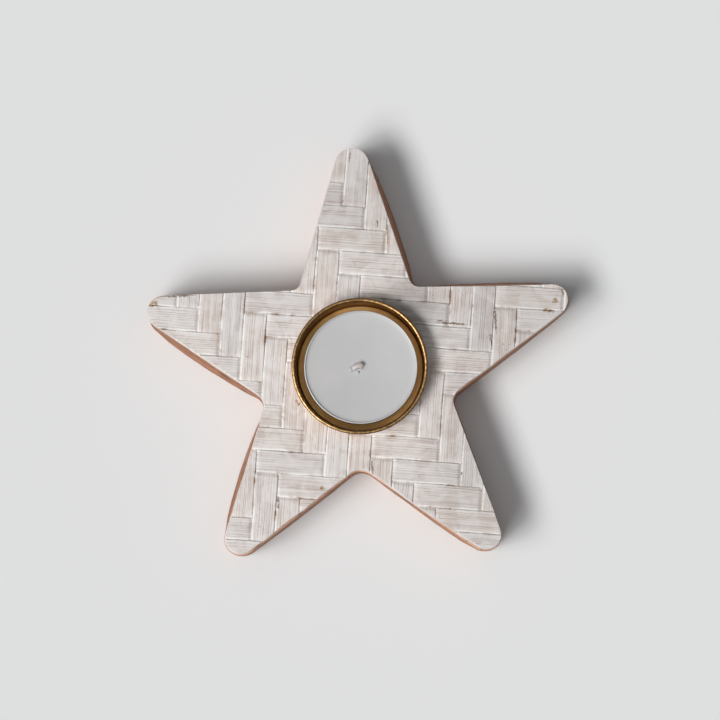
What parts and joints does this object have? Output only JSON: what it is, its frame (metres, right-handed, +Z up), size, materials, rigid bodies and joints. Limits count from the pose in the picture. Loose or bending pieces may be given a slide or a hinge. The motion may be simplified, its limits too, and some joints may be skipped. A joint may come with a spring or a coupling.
{
  "type": "tealight holder",
  "caption": "Star-shaped wooden tealight holder covered in whitewashed woven bamboo, with a brass cup let into its middle and a tealight that lifts out.",
  "frame": {"origin": "on the brass cup's axis at the flat underside of the star, where it rests", "axes": "+Z up, +X across the two side points of the star, +Y towards its upper point"},
  "size_m": [0.146, 0.1403, 0.0265],
  "materials": {
    "stained_wood": "matt reddish-brown stain, saw marks along the sides",
    "whitewashed_bamboo": "split bamboo strips, brushed with white paint, worn to the cane in places",
    "brass": "thin spun brass, polished rim, dull inside",
    "aluminium": "thin pressed sheet, satin",
    "wax": "white paraffin wax, matt with a faint sheen",
    "wick_cotton": "braided cotton dipped in wax",
    "tinned_steel": "plain tinned sheet"
  },
  "bodies": {
    "holder": {"star_block": "stained_wood", "brass_cup": "brass", "warp_strip_01": "whitewashed_bamboo", "warp_strip_02": "whitewashed_bamboo", "warp_strip_03": "whitewashed_bamboo", "warp_strip_04": "whitewashed_bamboo", "warp_strip_05": "whitewashed_bamboo", "warp_strip_06": "whitewashed_bamboo", "warp_strip_07": "whitewashed_bamboo", "warp_strip_08": "whitewashed_bamboo", "warp_strip_09": "whitewashed_bamboo", "warp_strip_10": "whitewashed_bamboo", "warp_strip_11": "whitewashed_bamboo", "warp_strip_12": "whitewashed_bamboo", "warp_strip_13": "whitewashed_bamboo", "warp_strip_14": "whitewashed_bamboo", "warp_strip_15": "whitewashed_bamboo", "warp_strip_16": "whitewashed_bamboo", "warp_strip_17": "whitewashed_bamboo", "warp_strip_18": "whitewashed_bamboo", "warp_strip_19": "whitewashed_bamboo", "warp_strip_20": "whitewashed_bamboo", "warp_strip_21": "whitewashed_bamboo", "warp_strip_22": "whitewashed_bamboo", "warp_strip_23": "whitewashed_bamboo", "warp_strip_24": "whitewashed_bamboo", "warp_strip_25": "whitewashed_bamboo", "warp_strip_26": "whitewashed_bamboo", "warp_strip_27": "whitewashed_bamboo", "weft_strip_01": "whitewashed_bamboo", "weft_strip_02": "whitewashed_bamboo", "weft_strip_03": "whitewashed_bamboo", "weft_strip_04": "whitewashed_bamboo", "weft_strip_05": "whitewashed_bamboo", "weft_strip_06": "whitewashed_bamboo", "weft_strip_07": "whitewashed_bamboo", "weft_strip_08": "whitewashed_bamboo", "weft_strip_09": "whitewashed_bamboo", "weft_strip_10": "whitewashed_bamboo", "weft_strip_11": "whitewashed_bamboo", "weft_strip_12": "whitewashed_bamboo", "weft_strip_13": "whitewashed_bamboo", "weft_strip_14": "whitewashed_bamboo", "weft_strip_15": "whitewashed_bamboo", "weft_strip_16": "whitewashed_bamboo", "weft_strip_17": "whitewashed_bamboo", "weft_strip_18": "whitewashed_bamboo", "weft_strip_19": "whitewashed_bamboo", "weft_strip_20": "whitewashed_bamboo", "weft_strip_21": "whitewashed_bamboo", "weft_strip_22": "whitewashed_bamboo", "weft_strip_23": "whitewashed_bamboo", "weft_strip_24": "whitewashed_bamboo", "weft_strip_25": "whitewashed_bamboo", "weft_strip_26": "whitewashed_bamboo", "weft_strip_27": "whitewashed_bamboo"},
    "tealight": {"tealight_cup": "aluminium", "wax": "wax", "wick": "wick_cotton", "wick_tab": "tinned_steel"}
  },
  "joints": [
    {"name": "tealight_lift", "type": "slide", "parent": "holder", "child": "tealight", "axis": [0, 0, 1], "range_m": [0, 0.03]}
  ]
}
